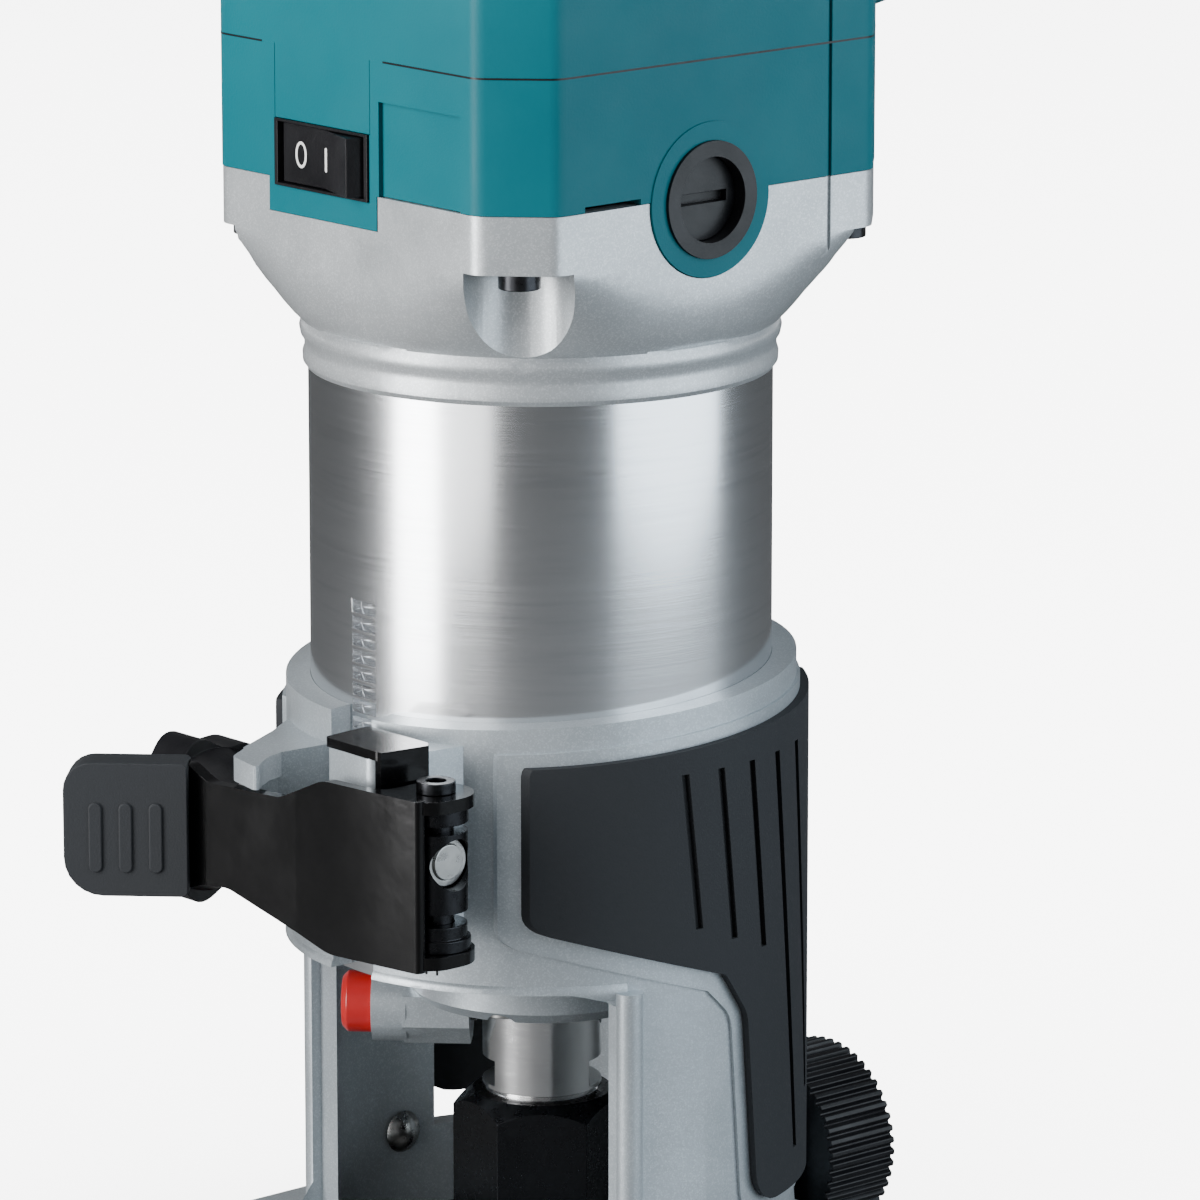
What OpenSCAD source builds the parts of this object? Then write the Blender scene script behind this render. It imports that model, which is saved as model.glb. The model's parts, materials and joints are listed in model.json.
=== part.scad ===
// Compact trim router held in a quick-release clamp base. Millimetres, +Z up.
// The origin is on the spindle axis in the plane of the base's sole. -X is the side with
// the window, the clamp lever and the switch; the guide screw is on +X.

/* [Motor] */
// Outside diameter of the motor barrel
barrel_d = 65; // [62:0.5:66]
// Height of the barrel's lower edge as set in the base
barrel_z = 57; // [56:0.5:58]
// Height of the barrel's upper edge, where the flange begins
barrel_top = 140; // [136:0.5:142]
// Half width of the square motor head
head_half = 35; // [34:0.5:36]
// Distance from the axis to the head's back face, on the cord side
head_back = 38.3; // [36:0.1:40]
// Width cut off each corner of the head, along a side
corner_cut = 7.9; // [6:0.1:9]
// Height where the metal flange ends and the plastic housing begins
housing_z = 168; // [166:0.5:170]
// Height of the seam between housing and top cover
seam_z = 186.5; // [185:0.5:188]
// Overall height
head_top = 234; // [226:1:240]

/* [Base] */
// Outside radius of the clamp ring
ring_r = 36; // [35.5:0.1:37]
// Height of the ring's lower edge, the top of the window
ring_z = 58; // [56:0.5:60]
// Height of the ring's upper edge on the axis
ring_top = 97.2; // [94:0.1:100]
// Slope of the ring's upper edge, rising to the guide screw side
ring_slope = 3.6; // [0:0.1:6]
// Thickness of the plastic base plate
plate_t = 8; // [5:0.5:9]
// Size of the base plate across the lever side
plate_x = 84; // [80:1:88]
// Size of the base plate along the clamp bolt
plate_y = 90; // [84:1:94]

/* [Tool holding] */
// Collet bore for the cutter's shank
collet_bore = 6.35; // [6:0.05:8]
// Width across the collet nut's flats
nut_af = 22; // [20:0.5:22]

/* [Hidden] */
$fn = 64;

eps = 0.01;
slide_gap = 0.05;            // radial clearance of parts that slide or turn in each other
barrel_r = barrel_d / 2;
bore_r = barrel_r - 3;       // inside of the barrel
rack_pitch = 2.3562;         // tooth spacing of a module 0.75 rack
pinion_r = 3.75;             // pitch radius of the 10-tooth pinion
pinion_x = -(barrel_r - 0.75) - pinion_r;
pinion_z = 74;
bolt_x = -40.6;
bolt_z = 80;
pivot_x = -40.8;             // lever pivot
pivot_y = -25.2;
nut_y = -27.2;               // outer face of the nut on the clamp bolt
lever_z0 = 66;
lever_z1 = 89.5;
sheet = 1.8;                 // thickness of the lever's pressed steel
screw_z = 16.6;              // height of the guide screw
brush_z = 167.3;             // height of the brush axis
switch_y = 5;
switch_z = 171.6;
switch_w = 20;
switch_h = 9.4;
rocker_x = -head_half + 2.5; // rocker pivot
lock_z = 46.5;
dial_pos = [-14, 12];
cord_pos = [43, -18];
nut_z0 = 12;
nut_z1 = 34.3;
groove_step = 6.2;           // spacing of the grooves in the grip pads
groove_ends = [66, 63.5, 61, 29, 36];

// ---------- shape helpers ----------
function unit(v) = v / norm(v);

// The arc that rounds corner b between a and c with radius r
function corner(a, b, c, r, n) = r == 0 ? [b] :
    let (u = unit(a - b), v = unit(c - b), half = acos(u * v) / 2)
    let (m = b + unit(u + v) * r / sin(half), s = b + u * r / tan(half), e = b + v * r / tan(half))
    let (a0 = atan2(s.y - m.y, s.x - m.x), a1 = atan2(e.y - m.y, e.x - m.x))
    let (turn = (a1 - a0 + 540) % 360 - 180)
    [for (i = [0:n]) m + r * [cos(a0 + turn * i / n), sin(a0 + turn * i / n)]];

// A polygon with every corner rounded; r is one radius or a list with one per corner
function rounded(p, r, n = 6) = [for (i = [0:len(p) - 1])
    each corner(p[(i + len(p) - 1) % len(p)], p[i], p[(i + 1) % len(p)], is_list(r) ? r[i] : r, n)];

function rect(x, y) = [[-x / 2, -y / 2], [x / 2, -y / 2], [x / 2, y / 2], [-x / 2, y / 2]];

module plate(points, z0, z1) {
    translate([0, 0, z0]) linear_extrude(z1 - z0) polygon(points);
}

module tube(ro, ri, z0, z1, fn = 96) {
    translate([0, 0, z0]) difference() {
        cylinder(r = ro, h = z1 - z0, $fn = fn);
        translate([0, 0, -1]) cylinder(r = ri, h = z1 - z0 + 2, $fn = fn);
    }
}

module rod(r, z0, z1) {
    translate([0, 0, z0]) cylinder(r = r, h = z1 - z0);
}

// Solid of revolution about Z from [radius, z] points
module turned(points) {
    rotate_extrude($fn = 96) polygon(points);
}

// Places children with their Z axis along +X or +Y
module along_x() { rotate([0, 90, 0]) children(); }
module along_y() { rotate([-90, 0, 0]) children(); }

// Helical spring along Z: mean radius r, wire radius w
module coil(r, w, length, turns) {
    steps = 12;
    sides = 6;
    n = steps * turns;
    points = [for (i = [0:n], j = [0:sides - 1])
        let (a = 360 * i / steps, b = 360 * j / sides)
        [(r + w * cos(b)) * cos(a), (r + w * cos(b)) * sin(a), w + (length - 2 * w) * i / n + w * sin(b)]];
    faces = concat([[for (j = [0:sides - 1]) j]],
        [for (i = [0:n - 1], j = [0:sides - 1]) let (k = (j + 1) % sides)
            [i * sides + j, (i + 1) * sides + j, (i + 1) * sides + k, i * sides + k]],
        [[for (j = [sides - 1:-1:0]) n * sides + j]]);
    polyhedron(points, faces);
}

// Plan of the motor head, a square with flattened and rounded corners, grown by g
function head_plan(g = 0) = let (x0 = -head_half - g, x1 = head_back + g, y = head_half + g, c = corner_cut)
    rounded([[x0 + c, -y], [x1 - c, -y], [x1, c - y], [x1, y - c], [x1 - c, y], [x0 + c, y], [x0, y - c],
        [x0, c - y]], 3.3, 4);

// Places children at the four corner posts of the head, inset from the flat of the corner
module at_posts(inset) {
    half = corner_cut / 2 + inset / sqrt(2);
    for (x = [half - head_half, head_back - half], y = [-1, 1])
        translate([x, y * (head_half - half), 0]) children();
}

// ---------- base ----------
// Upper edge of the clamp ring: everything above the tilted plane, lowered by drop
module above_ring(drop = 0) {
    translate([0, 0, ring_top - drop]) rotate([0, -ring_slope, 0])
        translate([-60, -60, 0]) cube([120, 120, 40]);
}

// Outline of the right grip pad seen from the side, grown by g
function pad_outline(g = 0) = rounded([[-26 - g, 91.5 + g], [-26 - g, 67.4 - g], [1 - g, 58.6 - g],
    [5.5 - g, 52], [8 - g, 23.5 - g], [33 + g, 23.5 - g], [33 + g, 96 + g]], [2.5, 3, 1, 5, 5, 6, 3], 5);

module pad_prism(g) {
    rotate([90, 0, 0]) linear_extrude(60) polygon(pad_outline(g));
}

module base_casting() color("lightsteelblue") difference() {
    union() {
        difference() {
            rod(ring_r, plate_t, ring_top + 6);
            above_ring();
        }
        // raised land round each grip pad
        for (m = [0, 1]) mirror([0, m, 0]) intersection() {
            difference() {
                rod(ring_r + 0.5, plate_t, ring_top + 6);
                above_ring(3.4);
            }
            pad_prism(2.2);
        }
        // foot
        plate(rounded(rect(plate_x - 4, plate_y - 6), 16, 8), plate_t, plate_t + 3.5);
        turned([[0, plate_t + 3.5], [39.2, plate_t + 3.5], [37.4, plate_t + 5], [36.3, plate_t + 8],
            [ring_r, plate_t + 12], [0, plate_t + 12]]);
        // boss of the guide screw
        rotate([90, 0, 0]) translate([0, 0, -7]) linear_extrude(14)
            polygon([[30, plate_t], [42, plate_t], [42, 20], [39.5, 26], [35, 32], [30, 34]]);
        // ears of the clamp, one on each side of the slit
        plate(rounded([[-22, -20], [-43, -17.4], [-45.2, -16.6], [-44.6, -6.6], [-30, -5.4], [-22, -5.4]],
            [0, 1.5, 1.5, 1, 0, 0], 4), 68, 93);
        plate(rounded([[-18, 27], [-37, 14.5], [-46.5, 9.5], [-48.2, 4], [-44.5, 4.2], [-30, 3]],
            [0, 6, 2, 0.6, 1, 0], 5), 70, 90);
        // hook at the top of the left ear
        plate(rounded([[-44, 10.6], [-50.4, 6.8], [-52, -0.6], [-49.4, 1.6], [-46.6, 3.4], [-44, 4]],
            [0, 2, 0.5, 1, 0, 0], 4), 86.6, 90);
        // rounded lip round the window
        for (y = [-34, 34]) translate([-13.5, y, plate_t]) cylinder(r = 1.9, h = ring_z - plate_t);
        translate([0, 0, ring_z]) rotate([0, 0, 112]) rotate_extrude(angle = 136, $fn = 96)
            translate([ring_r - 1.5, 0]) circle(r = 1.9);
    }
    // seat of the motor barrel
    rod(barrel_r + slide_gap, plate_t - 1, 130);
    above_ring();
    // window on the lever side and the chip opening behind
    intersection() {
        translate([-60, -33.2, plate_t + 3.5]) cube([60 - 13.5, 66.4, ring_z - plate_t - 3.5]);
        rotate([0, -90, 0]) linear_extrude(60)
            polygon(rounded([[0, -33.6], [ring_z + 0.2, -33.6], [ring_z + 0.2, 33.6], [0, 33.6]],
                [0, 5, 5, 0]));
    }
    rotate([0, 0, 62]) translate([20, -9, plate_t + 12]) cube([30, 18, 26]);
    // clamp slit, with room for the pinion
    translate([-46.5, -5.4, ring_z - 3]) cube([46.5 - 20, 8.4, 60]);
    translate([pinion_x, -5.4, pinion_z]) along_y() cylinder(r = 5.2, h = 8.4);
    translate([pinion_x, 0, pinion_z]) along_y() cylinder(r = 2.5 + slide_gap, h = 30);
    // clamp bolt
    translate([bolt_x, -30, bolt_z]) along_y() cylinder(r = 2.6, h = 60);
    translate([bolt_x, 10.4, bolt_z]) along_y() cylinder(r = 4.8, h = 20);
    // guide screw, foot screws and rivet seats
    translate([30, 0, screw_z]) along_x() cylinder(r = 3 + slide_gap, h = 20);
    for (x = [-33, 33], y = [-36, 36]) translate([x, y, 0]) rod(2.05, 0, plate_t + 6);
    for (s = [-1, 1]) translate([1, s * 20, 20]) rotate([s > 0 ? -90 : 90, 0, 0]) cylinder(r = 2, h = 20);
}

module base_plate() color([0.1, 0.1, 0.11]) difference() {
    plate(rounded(rect(plate_x, plate_y), 18, 8), 0, plate_t);
    rod(21, -1, plate_t + 1);
    rod(barrel_r + 0.5, 4, plate_t + 1);
    for (x = [-33, 33], y = [-36, 36]) translate([x, y, 0]) {
        rod(2.1, -1, plate_t + 1);
        translate([0, 0, -eps]) cylinder(r1 = 4.2, r2 = 2.1, h = 2.2);
    }
}

module plate_screws() color("dimgray") for (x = [-33, 33], y = [-36, 36]) translate([x, y, 0.15])
    difference() {
    union() {
        cylinder(r1 = 3.95, r2 = 2, h = 2);
        rod(2, 1.9, plate_t + 3);
    }
    for (a = [0, 90]) rotate([0, 0, a]) translate([-2.2, -0.45, -1]) cube([4.4, 0.9, 2]);
}

// Rubber pad round one side of the casting, with slanted grooves
module grip_pad() {
    difference() {
        intersection() {
            difference() {
                tube(ring_r + 1.8, ring_r + 0.5, 20, 99);
                above_ring(5.2);
            }
            pad_prism(0);
        }
        for (i = [0:4]) {
            x = groove_step * (i - 1);
            low = groove_ends[i];
            rotate([90, 0, 0]) intersection() {
                linear_extrude(60) polygon([[x - 0.6, 88.3], [x + 0.6, 88.3],
                    [x + 0.6 + 0.11 * (88 - low), low], [x - 0.6 + 0.11 * (88 - low), low]]);
                rotate([-90, 0, 0]) tube(60, ring_r + 0.9, 0, 99);
            }
        }
    }
}
module grip_pad_right() color([0.2, 0.21, 0.23]) grip_pad();
module grip_pad_left() color([0.2, 0.21, 0.23]) mirror([0, 1, 0]) grip_pad();

module pad_rivets() color("silver") for (s = [-1, 1]) translate([1, s * barrel_r, 20])
    rotate([s * 90, 0, 0]) {
    translate([0, 0, -3]) cylinder(r = 2, h = 3.5);
    intersection() {
        translate([0, 0, -1.9]) sphere(r = 3.9);
        translate([0, 0, 0.35]) cylinder(r = 3.4, h = 3);
    }
}

// Folded steel plate that takes the lever's push on the right ear
module clamp_saddle() color([0.08, 0.08, 0.09]) difference() {
    union() {
        plate(rounded([[-45, -18.6], [-44.8, -6.4], [-36.4, -5.6], [-36.4, -19.6]], [1.5, 0.8, 0.8, 1.5], 4),
            93, 94.3);
        plate([[-45, -18.6], [-44.8, -17.2], [-37.3, -18.13], [-37.3, -19.6]], 69, 94.3);
    }
    translate([bolt_x, -30, bolt_z]) along_y() cylinder(r = 2.7, h = 20);
}

module clamp_bolt() color("silver") {
    translate([bolt_x, -27.6, bolt_z]) along_y() cylinder(r = 2.5, h = 38.2);
    translate([bolt_x, 10.5, bolt_z]) along_y() cylinder(r = 4.6, h = 4, $fn = 6);
}

module clamp_nut() color("silver") translate([bolt_x, nut_y, bolt_z]) along_y() tube(3.4, 2.5, 0, 1.4);

// Round steel block that the bolt passes through and the lever turns on
module trunnion() color([0.12, 0.12, 0.13]) difference() {
    translate([pivot_x, pivot_y, 0]) {
        rod(4.3, lever_z0 + 7.2, lever_z1 - 5.2);
        rod(2.4, lever_z0 + 1, lever_z1 - 1);
    }
    translate([bolt_x, -40, bolt_z]) along_y() cylinder(r = 2.5 + slide_gap, h = 40);
    translate([bolt_x, nut_y - 10, bolt_z]) along_y() cylinder(r = 3.6, h = 11.4);
}

// Round lobe folded in from the lever's wall, on the pivot
module lever_flange(z) {
    translate([0, 0, z]) linear_extrude(sheet)
        polygon(rounded([[-46.8, -27.6], [-47.8, -17], [-44.8, -20], [-35.6, -20], [-35.6, -30.4],
            [-45.2, -30.4]], [0, 0, 2, 5.19, 5.19, 4], 8));
}

module clamp_lever() color([0.07, 0.07, 0.08]) difference() {
    union() {
        intersection() {
            plate(rounded([[-47.2, -29.2], [-49.7, -6], [-53, 14], [-62, 23], [-60.8, 24.4], [-51.2, 14.8],
                [-47.9, -6], [-45.5, -28.6]], [0.8, 8, 4, 0, 0, 4, 8, 0.5], 5), 60, 95);
            // side outline of the pressed wall, wide at the pivot and necked at the grip
            rotate([0, -90, 0]) linear_extrude(80) polygon(rounded([[lever_z0 - 0.2, -32],
                [lever_z0 - 0.6, -12], [71.5, 6.5], [71.2, 11], [70.5, 13], [70.5, 30], [88, 30], [88, 13.5],
                [86, 10], [86, -3], [lever_z1 + 0.2, -11], [lever_z1 + 0.2, -32]],
                [0, 8, 5, 2, 0, 0, 0, 2, 3, 3, 5, 0], 5));
        }
        lever_flange(lever_z0);
        lever_flange(lever_z1 - sheet);
    }
    translate([pivot_x, pivot_y, 0]) rod(2.4 + slide_gap, lever_z0 - 1, lever_z1 + 1);
}

module lever_grip() color([0.2, 0.2, 0.22]) difference() {
    translate([-58.6, 19.8, 0]) rotate([0, 0, 135]) rotate([90, 0, 0]) translate([0, 0, -2.9])
        linear_extrude(5.8)
        polygon(rounded([[-8.6, 69.6], [8.7, 69.6], [8.7, 88.6], [-8.6, 88.6]], [0.8, 5.5, 4, 0.8], 6));
    // slot that the end of the lever is pushed into
    plate([[-62, 23], [-60.8, 24.4], [-50, 13.8], [-51.6, 12]], 70.5, 88);
}

module lever_rivets() color([0.12, 0.12, 0.13]) translate([pivot_x, pivot_y, 0]) {
    tube(2.7, 1.4, lever_z1, lever_z1 + 1.6);
    tube(4.4, 2.45, lever_z1 - sheet - 2.2, lever_z1 - sheet);
    tube(4.7, 2.45, lever_z0 + sheet, lever_z0 + sheet + 1.7);
    tube(4.2, 2.45, lever_z0 + sheet + 1.7, lever_z0 + sheet + 3.6);
    rod(3, lever_z0 - 0.8, lever_z0);
}

module pinion_shaft() color("silver") translate([pinion_x, 0, pinion_z]) along_y() {
    translate([0, 0, -4.6]) cylinder(r = 2.5, h = 40.6);
    // teeth, one of them level with the rack at rest
    for (i = [0:9]) rotate([0, 0, 36 * i]) translate([0, 0, -2.4]) linear_extrude(4.8)
        polygon([[2.2, -0.8], [3.75, -0.48], [4.45, -0.2], [4.45, 0.2], [3.75, 0.48], [2.2, 0.8]]);
}

// Lobed knob on the pinion shaft, flaring outward clear of the ring
module depth_knob() color([0.1, 0.1, 0.11]) translate([pinion_x, 0, pinion_z]) along_y() difference() {
    union() {
        translate([0, 0, 29.9]) linear_extrude(7.1)
            polygon([for (a = [0:4:356]) (11.2 + 0.9 * cos(7 * a)) * [cos(a), sin(a)]]);
        turned([[0, 18.4], [3.5, 18.4], [5.9, 22], [9, 26], [10.3, 30], [0, 30]]);
    }
    translate([0, 0, 18]) cylinder(r = 2.5, h = 16);
}

module guide_screw() color("silver") translate([34, 0, screw_z]) along_x() cylinder(r = 3, h = 20);

module guide_knob() color([0.1, 0.1, 0.11]) translate([0, 0, screw_z]) along_x() difference() {
    union() {
        translate([0, 0, 44]) linear_extrude(12.5)
            polygon([for (i = [0:239]) (13.5 + (i % 5 < 3 ? 0.5 : -0.25)) * [cos(1.5 * i), sin(1.5 * i)]]);
        translate([0, 0, 42.3]) cylinder(r = 7, h = 2);
    }
    translate([0, 0, 40]) cylinder(r = 3, h = 14.5);
}

// ---------- motor ----------
module motor_barrel() color("gainsboro") difference() {
    union() {
        rod(barrel_r, barrel_z, barrel_top);
        rod(bore_r + 0.6, barrel_top - 1, barrel_top + 6);
    }
    rod(bore_r, barrel_z + 12, barrel_top + 10);
    rod(14.05, barrel_z - 1, barrel_z + 20);
    turned([[22, barrel_z + 4], [bore_r, barrel_z + 4], [bore_r, barrel_z + 13], [22, barrel_z + 13]]);
    // air outlets in the lower web
    for (a = [15:30:345]) rotate([0, 0, a]) translate([25, 0, barrel_z - 1]) cylinder(r = 2.6, h = 6);
    for (a = [90:120:330]) rotate([0, 0, a]) translate([16.4, 0, barrel_z - 1]) cylinder(r = 1.3, h = 10);
    // rack
    for (i = [-5:15]) translate([0, 2.5, pinion_z + i * rack_pitch]) rotate([90, 0, 0]) linear_extrude(5)
        polygon([[-barrel_r - 1, -1.05], [-barrel_r + 1.75, -0.55], [-barrel_r + 1.75, 0.55],
            [-barrel_r - 1, 1.05]]);
}

// Vertical line on the badge side, where the outlet half of the case begins
module groove() {
    translate([21.9, -head_half - 1, 150]) cube([0.7, 1.5, head_top - 165]);
}

module motor_flange() color("silver") difference() {
    union() {
        rod(barrel_r + 0.9, barrel_top, barrel_top + 6.2);
        hull() {
            translate([0, 0, barrel_top + 6]) cylinder(r = barrel_r + 1.3, h = 0.4, $fn = 72);
            plate(head_plan(-0.2), 160.8, 161);
        }
        plate(head_plan(-0.1), 160.9, housing_z);
    }
    rod(bore_r + 0.6, barrel_top - 1, barrel_top + 8);
    rod(bore_r - 0.5, barrel_top + 6.5, housing_z + 1);
    plate(head_plan(-3.2), 163, housing_z + 1);
    // scoop and screw hole under each post
    at_posts(2.9) rod(7.5, barrel_top - 2, 160);
    at_posts(3.9) rod(1.75, 150, 180);
    groove();
    // brush holders and switch
    for (s = [-1, 1]) translate([0, s > 0 ? 26 : -26 - 14, brush_z]) along_y() cylinder(r = 10.8, h = 14);
    translate([-40, switch_y - 11.6, 163.1]) cube([12, 23.2, 10]);
}

module lower_housing() color([0.15, 0.5, 0.55]) difference() {
    union() {
        plate(head_plan(), housing_z, seam_z);
        intersection() {
            for (s = [-1, 1]) translate([0, s > 0 ? 30 : -35.2, brush_z]) along_y()
                cylinder(r = 10.7, h = 5.2);
            plate(rect(60, 70.6), 150, 190);
        }
        translate([-head_half, switch_y - 11.5, 163.2]) cube([4, 23, 8]);
    }
    plate(head_plan(-2.6), housing_z - eps, seam_z + 1);
    for (s = [-1, 1]) translate([0, s > 0 ? 28 : -40, brush_z]) along_y() cylinder(r = 8.1 + 0.02, h = 12);
    translate([-40, switch_y - switch_w / 2, switch_z - switch_h / 2]) cube([10, switch_w, switch_h]);
    // tongue of the top cover comes down to the switch
    translate([-40, switch_y - 10.2, switch_z + switch_h / 2 - 0.1]) cube([12, 20.4, 20]);
    groove();
    // shallow panel beside the switch and vent slit under the brush side
    translate([-head_half - 1, -24, 150]) cube([1.7, 17, 31]);
    translate([-22.5, -40, housing_z - 1]) cube([10, 8, 1.8]);
    at_posts(3.9) rod(1.75, 150, 180);
}

module top_cover() color([0.15, 0.5, 0.55]) difference() {
    union() {
        hull() {
            plate(head_plan(0), seam_z, head_top - 9);
            plate(head_plan(-1.2), head_top - 9, head_top - 4);
            plate(head_plan(-4), head_top - 5, head_top - 1.2);
            plate(head_plan(-6.5), head_top - 2, head_top);
        }
        // tongue that comes down to the switch
        translate([-head_half, switch_y - 10.1, switch_z + switch_h / 2])
            cube([2.6, 20.2, seam_z + 1 - switch_z - switch_h / 2]);
        // horn that carries the cord
        hull() {
            translate([cord_pos.x, cord_pos.y, 197]) sphere(r = 9.5, $fn = 32);
            translate([cord_pos.x, cord_pos.y, 216]) cylinder(r = 8.5, h = 2, $fn = 32);
            translate([28, cord_pos.y, 196]) sphere(r = 9.5, $fn = 24);
            translate([28, cord_pos.y - 8, 216]) cube([6, 16, 6]);
        }
    }
    plate(rect(62, 62), seam_z - 1, head_top - 12);
    rod(30, seam_z, head_top - 4);
    groove();
    translate([cord_pos.x, cord_pos.y, 190]) rod(5, 14, 40);
    translate([28, cord_pos.y, 204]) along_x() cylinder(r = 4, h = 14);
    translate([dial_pos.x, dial_pos.y, 0]) {
        rod(11.2, head_top - 3, head_top + 1);
        rod(2.55, head_top - 8, head_top);
    }
    // air inlets
    for (s = [-1, 1], i = [-3:3]) translate([i * 5 - 1.1, s * 34 - 6, 205]) cube([2.2, 12, 14]);
}

module housing_screws() color("dimgray") at_posts(3.9) difference() {
    union() {
        rod(2.9, 157.6, 160);
        rod(1.7, 159.9, 175);
    }
    rod(1.5, 157, 159);
}

module badge() color("white") translate([0, -head_half - 0.9, 207]) rotate([-90, 0, 0]) difference() {
    linear_extrude(0.9) polygon(rounded(rect(38, 11), 5.4));
    translate([0, 0, -0.6]) linear_extrude(1) polygon(rounded(rect(35, 8), 3.9));
}

module cord_gland() color([0.08, 0.08, 0.09]) translate([cord_pos.x, cord_pos.y, 0]) tube(5, 3.2, 204.5, 220);

// ---------- electrics ----------
module switch_body() color([0.07, 0.07, 0.08]) difference() {
    translate([-head_half - 0.4, switch_y - 9.95, switch_z - 4.65]) cube([17, 19.9, 9.3]);
    translate([-40, switch_y - 9.2, switch_z - 4.25]) cube([13.5, 18.4, 8.5]);
    translate([rocker_x, switch_y, 0]) rod(1.0 + slide_gap, switch_z - 5, switch_z + 5);
}

module switch_rocker() color([0.05, 0.05, 0.06]) translate([rocker_x, switch_y, switch_z]) {
    translate([0, 0, -4.1]) linear_extrude(8.2) intersection() {
        circle(r = 9, $fn = 96);
        // shallow V face, the off side level and the on side standing out
        polygon([[-2.2, 9.5], [-2.2, 0], [-5.3, -9.5], [1.2, -9.5], [3, -3], [3, 3], [1.2, 9.5]]);
    }
    rod(1, -4.6, 4.6);
}

module speed_dial() color([0.1, 0.1, 0.11]) translate([dial_pos.x, dial_pos.y, head_top - 2.9]) {
    linear_extrude(2.4)
        polygon([for (i = [0:119]) (10.9 + (i % 4 < 2 ? 0 : -0.45)) * [cos(3 * i), sin(3 * i)]]);
    rod(2.5, -5, 0.1);
    translate([-0.7, 2.5, 2.3]) cube([1.4, 6.5, 0.6]);
}

module speed_controller() color("darkgreen") {
    translate([-26, 2, head_top - 14]) cube([30, 24, 1.6]);
    translate([-20, 6, head_top - 19]) cube([12, 9, 5]);
    translate([dial_pos.x, dial_pos.y, 0]) tube(5, 2.55, head_top - 12.5, head_top - 6);
}

// Plastic frame inside the head that seats the upper bearing and the brush holders
module end_frame() color([0.15, 0.15, 0.16]) difference() {
    union() {
        rod(28, 179, 181.4);
        rod(13.5, 178, 190);
        for (a = [45:90:315]) rotate([0, 0, a]) translate([24, -3, 168]) cube([3.5, 6, 13]);
    }
    rod(11, 181.4, 188.5);
    rod(6.4, 170, 195);
}

module brush_holders() color([0.06, 0.06, 0.07]) for (s = [0, 1]) mirror([0, s, 0])
    translate([0, -35.7, brush_z])
    along_y() difference() {
        union() {
            cylinder(r = 8.1, h = 6);
            translate([-5, -6, 5.9]) cube([10, 12, 15.2]);
        }
        translate([0, 0, -1]) cylinder(r = 5.9, h = 6.5);
        translate([-2.55, -4.05, 4]) cube([5.1, 8.1, 30]);
    }

module brush_caps() color([0.07, 0.07, 0.08]) for (s = [0, 1]) mirror([0, s, 0])
    translate([0, -33.6, brush_z])
    along_y() difference() {
        cylinder(r = 5.85, h = 3.2);
        translate([-4.3, -0.75, -1]) cube([8.6, 1.5, 2.2]);
    }

module carbon_brushes() color([0.15, 0.15, 0.15]) for (s = [0, 1]) mirror([0, s, 0]) difference() {
    translate([-2.5, -22, brush_z - 4]) cube([5, 10.6, 8]);
    rod(12.05, 150, 180);
}

module brush_springs() color("goldenrod") for (s = [0, 1]) mirror([0, s, 0]) translate([0, -30.3, brush_z])
    along_y() coil(1.9, 0.35, 8.2, 5);

module stator_core() color("slategray") difference() {
    rod(bore_r - 0.1, 86, 124);
    rod(17.6, 80, 130);
    // gaps that leave two poles and two yokes
    for (s = [-1, 1]) translate([s * 21.5 - 5.5, -13, 80]) cube([11, 26, 60]);
}

module stator_windings() color("peru") for (s = [-1, 1], z = [[79, 86], [124, 133]]) intersection() {
    tube(27.5, 19, z[0], z[1]);
    rotate([0, 0, s > 0 ? 0 : 180]) translate([0, -24, 70]) cube([40, 48, 80]);
    translate([s * 16, 0, 0]) rod(24, 70, 140);
}

module fan_baffle() color([0.15, 0.15, 0.16]) tube(bore_r - 0.1, 21, 76.5, 78.5);

module cooling_fan() color([0.85, 0.85, 0.8]) {
    tube(26.5, 6.05, 70, 71.6);
    tube(9, 6.05, 70, 76);
    for (a = [0:30:330]) rotate([0, 0, a]) translate([8.5, 0, 70.5]) rotate([0, 0, 12]) cube([17, 1.3, 5]);
}

module armature_shaft() color("lightgray") difference() {
    turned([[0, 18], [8, 18], [8, 34.4], [7.7, 34.8], [8.5, 35.2], [8.5, 59.9], [6, 59.9], [6, 158], [4, 158],
        [4, 190], [0, 190]]);
    // wrench flats
    for (s = [-1, 1]) rotate([0, 0, -41]) translate([s > 0 ? 6.7 : -16.7, -10, 35.8]) cube([10, 20, 3.7]);
    // taper and bore for the collet and the shank
    translate([0, 0, 17.9]) cylinder(r1 = 6.02, r2 = 4.35, h = 14.1);
    rod(3.6, 17, 52);
    // hole for the lock pin
    rotate([0, 0, 135]) translate([-20, 0, lock_z]) along_x() cylinder(r = 2.6, h = 40);
}

module armature_core() color("slategray") difference() {
    tube(17, 6, 86, 124);
    for (a = [0:30:330]) rotate([0, 0, a]) translate([13.5, -0.8, 80]) cube([5, 1.6, 60]);
}

module armature_windings() color("chocolate") {
    turned([[6, 79.5], [13, 79.5], [15.5, 82], [15.5, 86], [6, 86]]);
    turned([[6, 124], [15.5, 124], [15.5, 128], [12, 133], [6, 133]]);
}

module commutator() color("darkorange") translate([0, 0, 159]) difference() {
    tube(12, 4, 0, 16.5);
    for (a = [0:15:345]) rotate([0, 0, a]) translate([10.8, -0.25, -1]) cube([3, 0.5, 19]);
}

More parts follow.
